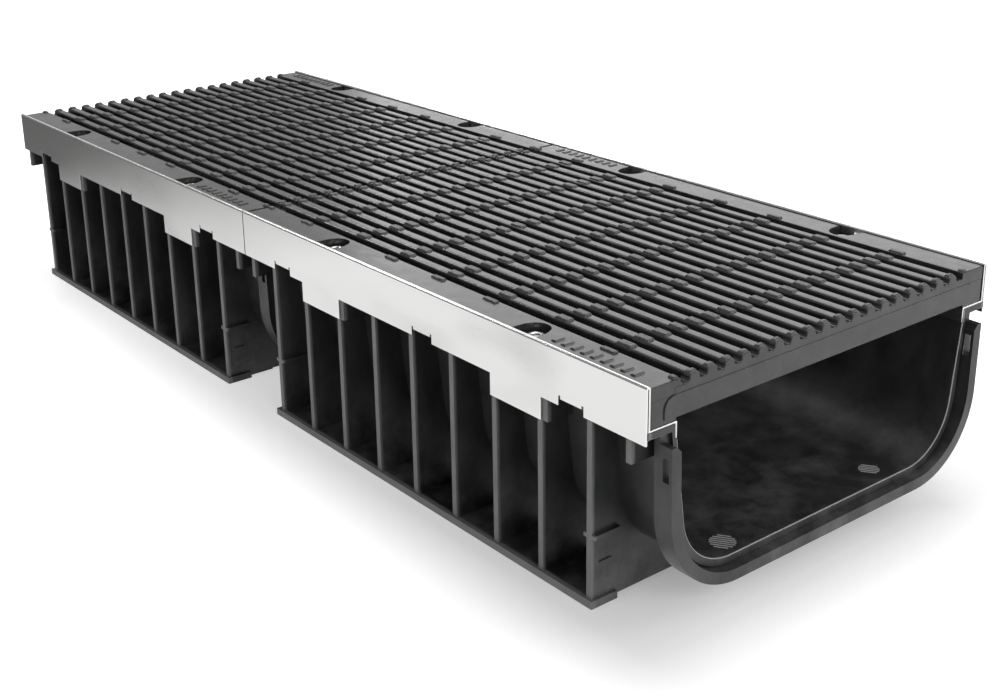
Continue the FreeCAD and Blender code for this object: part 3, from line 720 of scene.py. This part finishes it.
# Cast grates
def rounded_bar(middle, low, top, sizes):
    """The (y, z) profile of one bar, with rounded shoulders."""
    foot = sizes.bar_foot / 2
    wide = sizes.bar_width / 2
    flat = sizes.bar_top / 2
    drop = sizes.bar_shoulder
    half = [(foot, low), (wide, top - drop)]
    for step in range(1, SHOULDER_STEPS):
        turn = math.radians(90.0 * step / SHOULDER_STEPS)
        half.append((flat + (wide - flat) * math.cos(turn), top - drop + drop * math.sin(turn)))
    half.append((flat, top))
    right = [(middle + y, z) for y, z in half]
    left = [(middle - y, z) for y, z in reversed(half)]
    return right + left


def comb_outline(places, beam, low, top, bar_low, sizes):
    """The (y, z) outline of an end beam: bar ends with round-footed open slots between them."""
    foot = top - sizes.comb_drop
    radius = sizes.notch_round
    rise = (foot + radius - bar_low) / (top - sizes.bar_shoulder - bar_low)
    half = (sizes.bar_foot + (sizes.bar_width - sizes.bar_foot) * rise) / 2
    points = [(-beam, foot), (-beam, low), (beam, low), (beam, foot)]
    for middle in reversed(places):
        points += arc((middle + half + radius, foot + radius), radius, 270, 180)
        points += rounded_bar(middle, bar_low, top, sizes)[1:-1]
        points += arc((middle - half - radius, foot + radius), radius, 0, -90)
    return points


def pocket_outline(middle, centre, half_width, beyond, side):
    """Points of a U-shaped bolt pocket that opens at the plate's outer edge."""
    points = [(middle + half_width, beyond * side)]
    for x, y in arc((middle, 0), half_width, 0, 180, POCKET_STEPS):
        points.append((x, (centre - y) * side))
    points.append((middle - half_width, beyond * side))
    return points


def plate_outline(start, finish, inner, outer, bolts, centre, half_width, side):
    """A side plate's (x, y) outline with its bolt pockets."""
    points = [(start, inner * side), (finish, inner * side), (finish, outer * side)]
    for middle in sorted(bolts, reverse=True):
        points += pocket_outline(middle, centre, half_width, outer, side)
    points.append((start, outer * side))
    return points


def grip_template(size, edge, lean=GRIP_TOP):
    """One raised grip with worn, rounded edges and leaning sides, centred on its underside."""
    bm = bmesh.new()
    made = bmesh.ops.create_cube(bm, size=1.0)
    for vert in made["verts"]:
        vert.co = Vector((vert.co.x * size[0], vert.co.y * size[1], (vert.co.z + 0.5) * size[2]))
        if vert.co.z > size[2] / 2:
            vert.co.x -= math.copysign((1 - lean) * size[1] / 2, vert.co.x)
            vert.co.y *= lean
    edges = [item for item in bm.edges if max(vert.co.z for vert in item.verts) > size[2] / 2]
    round_edges(bm, edges, edge)
    mesh = bpy.data.meshes.new("grip_template")
    bm.to_mesh(mesh)
    bm.free()
    return mesh


def add_copy(bm, mesh, matrix):
    """Add a transformed copy of a mesh."""
    moved = mesh.copy()
    moved.transform(matrix)
    bm.from_mesh(moved)
    bpy.data.meshes.remove(moved)


def bolt_places(middle, sizes):
    """Places of a grate's bolts along X, on both sides of a middle."""
    return middle - sizes.bolt_spacing / 2, middle + sizes.bolt_spacing / 2


def make_grate(end, sizes):
    """One slotted grate with its bars, pockets, combs, end panel and plain studs."""
    low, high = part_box(f"grate_{end}")
    start, finish = low.x, high.x - sizes.panel_proud
    outer = high.y
    seat, top = low.z, high.z
    plate = outer - sizes.plate_width
    beam = outer - sizes.beam_width
    bolts = bolt_places((start + finish) / 2, sizes)
    bolt_y = frame_high.y - sizes.bolt_inset
    half_pocket = sizes.pocket_width / 2
    pocket_floor = top - sizes.pocket_depth
    plate_low = top - sizes.plate_depth
    side_start, side_finish = start + sizes.end_setback, finish - sizes.end_setback
    bm = bmesh.new()

    for side in (1, -1):
        layers = ((plate, plate_low, top, sizes.plate_round),
                  (beam - sizes.wall_lap, pocket_floor, plate_low, 0.0))
        for inner, bottom, upper, edge in layers:
            outline = plate_outline(side_start, side_finish, inner, outer, bolts, bolt_y,
                                    half_pocket, side)
            slab(bm, outline, bottom, upper, edge)
        ys = sorted((beam * side, outer * side))
        block(bm, (side_start, ys[0], seat), (side_finish, ys[1], pocket_floor),
              sizes.beam_round)

    places = bar_places(plate, sizes)
    bar_low = seat + sizes.bar_rise
    for middle in places:
        profile = rounded_bar(middle, bar_low, top, sizes)
        skin(bm, [[(x, y, z) for y, z in profile]
                  for x in (start + sizes.end_beam, finish - sizes.end_beam)])

    beam_low = seat + sizes.end_gap
    comb = comb_outline(places, beam + sizes.comb_lap, beam_low, top, bar_low, sizes)
    plank(bm, comb, start + sizes.end_beam, start, sizes.end_round)
    plank(bm, comb, finish - sizes.end_beam, finish, sizes.end_round)
    for x in bolts:
        block(bm, (x - sizes.rib_width / 2, -beam, beam_low),
              (x + sizes.rib_width / 2, beam, beam_low + sizes.rib_height), sizes.rib_round)
    panel_low = beam_low + sizes.panel_lift
    panel_high = top - sizes.comb_drop - sizes.panel_drop
    radius = sizes.panel_round
    panel = [(-bolt_y, panel_low), (bolt_y, panel_low)]
    panel += arc((bolt_y - radius, panel_high - radius), radius, 0, 90, PANEL_STEPS)
    panel += arc((radius - bolt_y, panel_high - radius), radius, 90, 180, PANEL_STEPS)
    plank(bm, panel, finish - sizes.panel_lap, finish + sizes.panel_proud, sizes.panel_edge)

    stud = grip_template((sizes.stud_length, sizes.stud_width, sizes.stud_height),
                         sizes.stud_round, STUD_TOP)
    stud_y = (plate + sizes.plate_grip_width + outer) / 2 + sizes.stud_shift
    for x_first, side in ((finish - sizes.stud_far, -1), (start + sizes.stud_near, 1)):
        for number in range(sizes.studs):
            x = x_first + sizes.stud_pitch * number
            add_copy(bm, stud, Matrix.Translation((x, stud_y * side, top - sizes.stud_sink)))
    bpy.data.meshes.remove(stud)
    finish_piece(bm, f"cast_grate_{end}", material("iron"), [f"grate_{end}"])


def bar_places(plate, sizes):
    """Middles of the bars across the grate."""
    outer_bar = plate - sizes.edge_slot - sizes.bar_width / 2
    pitch = outer_bar * 2 / (sizes.bars - 1)
    return [-outer_bar + pitch * number for number in range(sizes.bars)]


def make_grips(end, sizes):
    """The raised, gritty grips that are cast on the bars and side plates of one grate."""
    low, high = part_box(f"grate_{end}")
    chance = random.Random(end)
    start, finish = low.x, high.x - sizes.panel_proud
    top = high.z
    plate = high.y - sizes.plate_width
    bolts = bolt_places((start + finish) / 2, sizes)
    grip_low = top - sizes.bar_shoulder
    rise = sizes.grip_height + sizes.bar_shoulder
    end_length = sizes.grip_length / 2 - sizes.end_round
    width = sizes.bar_width
    plate_width = sizes.plate_grip_width
    bar_grip = grip_template((sizes.grip_length, width, rise), sizes.grip_round)
    plate_grip = grip_template((sizes.grip_length, plate_width, rise), sizes.grip_round)
    bar_end = grip_template((end_length, width, rise), sizes.bar_end_round)
    plate_end = grip_template((end_length, plate_width, rise), sizes.plate_end_round)
    plate_grip_y = plate + sizes.plate_grip_gap + plate_width / 2
    pitch = (finish - start) / sizes.grip_rows
    bm = bmesh.new()
    for row in range(sizes.grip_rows + 1):
        last = row in (0, sizes.grip_rows)
        x = start + pitch * row
        if last:
            x += (sizes.end_round * END_GRIP_BACK + end_length / 2) * (1 if row == 0 else -1)
        for y in bar_places(plate, sizes) + [-plate_grip_y, plate_grip_y]:
            on_plate = abs(y) > plate
            if on_plate and any(abs(x - bolt) < sizes.pocket_width / 2 for bolt in bolts):
                continue
            whole, half = (plate_grip, plate_end) if on_plate else (bar_grip, bar_end)
            mesh = half if last else whole
            shift_x = chance.uniform(-SHIFT_ALONG, SHIFT_ALONG) * (not last)
            shift_y = chance.uniform(-SHIFT_ACROSS, SHIFT_ACROSS)
            scale = Matrix.Diagonal((1.0 + chance.uniform(*LENGTH_SPREAD) * (not last),
                                     1.0 + chance.uniform(*WIDTH_SPREAD),
                                     1.0 + chance.uniform(*HEIGHT_SPREAD), 1.0))
            place = Matrix.Translation((x + shift_x, y + shift_y, grip_low))
            add_copy(bm, mesh, place @ scale)
    for mesh in (bar_grip, plate_grip, bar_end, plate_end):
        bpy.data.meshes.remove(mesh)
    finish_piece(bm, f"cast_grips_{end}", material("grit"))


class DRAIN_OT_grates(bpy.types.Operator):
    """Build both cast grates"""

    bl_idname = "drain.grates"
    bl_label = "Grates"

    def execute(self, context):
        for end in ENDS:
            make_grate(end, context.scene.drain_grate)
            make_grips(end, context.scene.drain_grate)
        return {"FINISHED"}


# Bolts
def hexagon_reach(turn, apothem):
    """Distance from a hexagon's middle to its side in one direction."""
    return apothem / math.cos((turn + math.pi / 6) % (math.pi / 3) - math.pi / 6)


def add_bolt(bm, x, y, seat, foot, sizes):
    """One hexagon head bolt with a chamfered, slightly dished head."""
    turns = [2 * math.pi * step / BOLT_STEPS for step in range(BOLT_STEPS)]
    apothem = sizes.head_width / 2
    shank = sizes.shank_width / 2
    top = seat + sizes.head_height
    crown = apothem * CROWN
    levels = [
        (foot, lambda t: shank - sizes.tip_chamfer),
        (foot + sizes.tip_chamfer, lambda t: shank),
        (seat, lambda t: shank),
        (seat, lambda t: hexagon_reach(t, apothem)),
        (top - sizes.chamfer, lambda t: hexagon_reach(t, apothem)),
        (top, lambda t: min(hexagon_reach(t, apothem), crown)),
        (top - sizes.rim_drop, lambda t: crown * DISH_RIM),
        (top - sizes.dish, lambda t: crown * DISH_FLOOR),
    ]
    skin(bm, [[(x + reach(t) * math.cos(t), y + reach(t) * math.sin(t), z) for t in turns]
              for z, reach in levels])


class DRAIN_OT_bolts(bpy.types.Operator):
    """Build the bolts that hold the grates"""

    bl_idname = "drain.bolts"
    bl_label = "Bolts"

    def execute(self, context):
        sizes = context.scene.drain_bolt
        grate = context.scene.drain_grate
        for end in ENDS:
            low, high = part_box(f"grate_bolts_{end}")
            grate_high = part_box(f"grate_{end}")[1]
            seat = grate_high.z - grate.pocket_depth
            bolt_y = frame_high.y - grate.bolt_inset
            bm = bmesh.new()
            for x in bolt_places((low.x + high.x) / 2, grate):
                for y in (-bolt_y, bolt_y):
                    add_bolt(bm, x, y, seat, low.z, sizes)
            finish_piece(bm, f"bolts_{end}", material("bolt"),
                         [f"grate_bolts_{end}"], sharp=25.0)
        return {"FINISHED"}


# Channel, rails and nut plates
def add_mark(bm, x, y, width, sizes):
    """One round patch of raised hatching on the channel's floor."""
    half = width / 2
    count = int(half / sizes.mark_pitch)
    place = Matrix.Translation((x, y, sizes.floor_height))
    turn = place @ Matrix.Rotation(MARK_TURN, 4, "Z")
    for number in range(-count, count + 1):
        across = number * sizes.mark_pitch
        reach = math.sqrt(half ** 2 - across ** 2)
        size = Matrix.Diagonal((reach * 2, sizes.mark_line, sizes.mark_rise * 2, 1.0))
        bmesh.ops.create_cube(bm, size=1.0, matrix=turn @ Matrix.Translation((0, across, 0)) @ size)


def add_roots(bm, start, sizes):
    """The lower parts of a module's ribs, the broad feet between them and the last rib's dash."""
    low = sizes.foot_height - sizes.root_sink
    inner = sizes.foot_inner + sizes.root_inset
    outer = sizes.root_outer
    outline = ((outer, low), (inner, low), (inner, sizes.root_low),
               (sizes.root_slope, sizes.root_high), (outer, sizes.root_high))
    half = sizes.root_thickness / 2
    first = start + sizes.rib_first
    last = first + sizes.rib_pitch * (sizes.ribs - 1)
    for number in range(sizes.ribs):
        x = first + sizes.rib_pitch * number
        for side in (1, -1):
            skin(bm, [[(x + shift, y * side, z) for y, z in outline] for shift in (-half, half)])
    for side in (1, -1):
        ys = sorted((sizes.foot_inner * side, sizes.foot_outer * side))
        block(bm, (first, ys[0], sizes.foot_rise),
              (last, ys[1], sizes.foot_height - sizes.foot_drop))
        middle = sizes.dash_middle * side
        block(bm, (last, middle - sizes.dash_width / 2, sizes.dash_low),
              (last + sizes.dash_reach, middle + sizes.dash_width / 2, sizes.dash_high),
              sizes.dash_round)


class DRAIN_OT_channel(bpy.types.Operator):
    """Finish the mouldings, rails and nut plates and add the roots of the ribs and floor marks"""

    bl_idname = "drain.channel"
    bl_label = "Channel"

    def execute(self, context):
        sizes = context.scene.drain_channel
        for end in ENDS:
            low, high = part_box(f"channel_{end}")
            piece = soft_copy(
                f"channel_{end}", f"moulded_channel_{end}", material("plastic"),
                sizes.moulded_edge,
                reshape=lambda bm: highlight_rim(bm, high.x - sizes.rim_depth, sizes.rim_width,
                                            (low.z + high.z) / 2))
            # The second material paints a highlight on the channel's inner end edge
            piece.data.materials.append(material("scuff"))
            for side in ("left", "right"):
                soft_copy(f"{side}_rail_{end}", f"folded_{side}_rail_{end}", material("steel"),
                          sizes.sheet_edge, sizes.rail_gap)
            dress_node(f"nut_plates_{end}", "bolt")
            rail_low, rail_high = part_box(f"left_rail_{end}")
            bm = bmesh.new()
            add_roots(bm, rail_low.x, sizes)
            finish_piece(bm, f"rib_roots_{end}", material("plastic"))
            bm = bmesh.new()
            for back, y, width in FLOOR_MARKS:
                add_mark(bm, rail_high.x - back, y, width, sizes)
            finish_piece(bm, f"floor_marks_{end}", material("scuff"))
        return {"FINISHED"}


# Studio
def area_light(name, place, target, size, power):
    """A soft rectangular light that faces a point."""
    data = bpy.data.lights.new(name, "AREA")
    data.shape = "RECTANGLE"
    data.size, data.size_y = size
    data.energy = power
    light = bpy.data.objects.new(name, data)
    light.location = place
    light.rotation_mode = "QUATERNION"
    light.rotation_quaternion = (Vector(target) - Vector(place)).to_track_quat("-Z", "Y")
    bpy.context.scene.collection.objects.link(light)


def white_surroundings(strength):
    """A world that is plain white to the camera and gives light of one strength."""
    world = bpy.data.worlds.new("studio")
    world.use_nodes = True
    tree = world.node_tree
    tree.nodes.clear()
    output = tree.nodes.new("ShaderNodeOutputWorld")
    path = tree.nodes.new("ShaderNodeLightPath")
    mix = tree.nodes.new("ShaderNodeMixShader")
    tree.links.new(path.outputs["Is Camera Ray"], mix.inputs[0])
    for socket, brightness in ((mix.inputs[1], strength), (mix.inputs[2], 1.0)):
        white = tree.nodes.new("ShaderNodeBackground")
        white.inputs["Color"].default_value = (*WHITE, 1.0)
        white.inputs["Strength"].default_value = brightness
        tree.links.new(white.outputs[0], socket)
    tree.links.new(mix.outputs[0], output.inputs["Surface"])
    return world


def photo_camera(lens, shift):
    """The camera that sees the drain much as the photo does."""
    data = bpy.data.cameras.new("photo_view")
    data.sensor_width = SENSOR_WIDTH
    data.lens = lens
    data.shift_y = shift
    camera = bpy.data.objects.new("photo_view", data)
    camera.location = CAMERA_PLACE
    forward = Vector(CAMERA_LOOK).normalized()
    right = forward.cross(Vector(CAMERA_UP)).normalized()
    turn = Matrix((right, right.cross(forward), -forward)).transposed()
    camera.rotation_mode = "QUATERNION"
    camera.rotation_quaternion = turn.to_quaternion()
    bpy.context.scene.collection.objects.link(camera)
    return camera


class DRAIN_OT_stage(bpy.types.Operator):
    """Set up the floor, the lights, the surroundings and the camera"""

    bl_idname = "drain.stage"
    bl_label = "Studio"

    def execute(self, context):
        stage = context.scene.drain_stage
        bm = bmesh.new()
        bmesh.ops.create_grid(bm, x_segments=1, y_segments=1, size=FLOOR_REACH)
        mesh = bpy.data.meshes.new("studio_floor")
        bm.to_mesh(mesh)
        bm.free()
        mesh.materials.append(material("floor"))
        floor = bpy.data.objects.new("studio_floor", mesh)
        context.scene.collection.objects.link(floor)
        for name, (power, place, target, size) in LIGHTS.items():
            area_light(name, place, target, size, getattr(stage, power))
        context.scene.world = white_surroundings(stage.sky)
        context.scene.camera = photo_camera(stage.lens, stage.shift)
        context.scene.view_settings.view_transform = "Standard"
        return {"FINISHED"}


class DRAIN_PT_panel(bpy.types.Panel):
    """Shows a button for each step that builds the drain"""

    bl_idname = "DRAIN_PT_panel"
    bl_label = "Channel Drain"
    bl_space_type = "VIEW_3D"
    bl_region_type = "UI"
    bl_category = "Drain"

    def draw(self, context):
        for operator in OPERATORS:
            self.layout.operator(operator.bl_idname)


SETTINGS = {
    "drain_grate": DrainGrateSettings,
    "drain_bolt": DrainBoltSettings,
    "drain_channel": DrainChannelSettings,
    "drain_finish": DrainFinishSettings,
    "drain_stage": DrainStageSettings,
}
OPERATORS = (DRAIN_OT_channel, DRAIN_OT_grates, DRAIN_OT_bolts, DRAIN_OT_stage)


def register():
    """Register the settings, the operators and the panel."""
    for name, group in SETTINGS.items():
        bpy.utils.register_class(group)
        setattr(bpy.types.Scene, name, bpy.props.PointerProperty(type=group))
    for item in (*OPERATORS, DRAIN_PT_panel):
        bpy.utils.register_class(item)


def unregister():
    """Undo what register did."""
    for item in reversed((*OPERATORS, DRAIN_PT_panel)):
        bpy.utils.unregister_class(item)
    for name, group in SETTINGS.items():
        delattr(bpy.types.Scene, name)
        bpy.utils.unregister_class(group)


def main():
    """Register the settings and build the whole scene."""
    register()
    bpy.ops.drain.channel()
    bpy.ops.drain.grates()
    bpy.ops.drain.bolts()
    bpy.ops.drain.stage()
    bpy.context.view_layer.update()


if __name__ == "__main__":
    main()
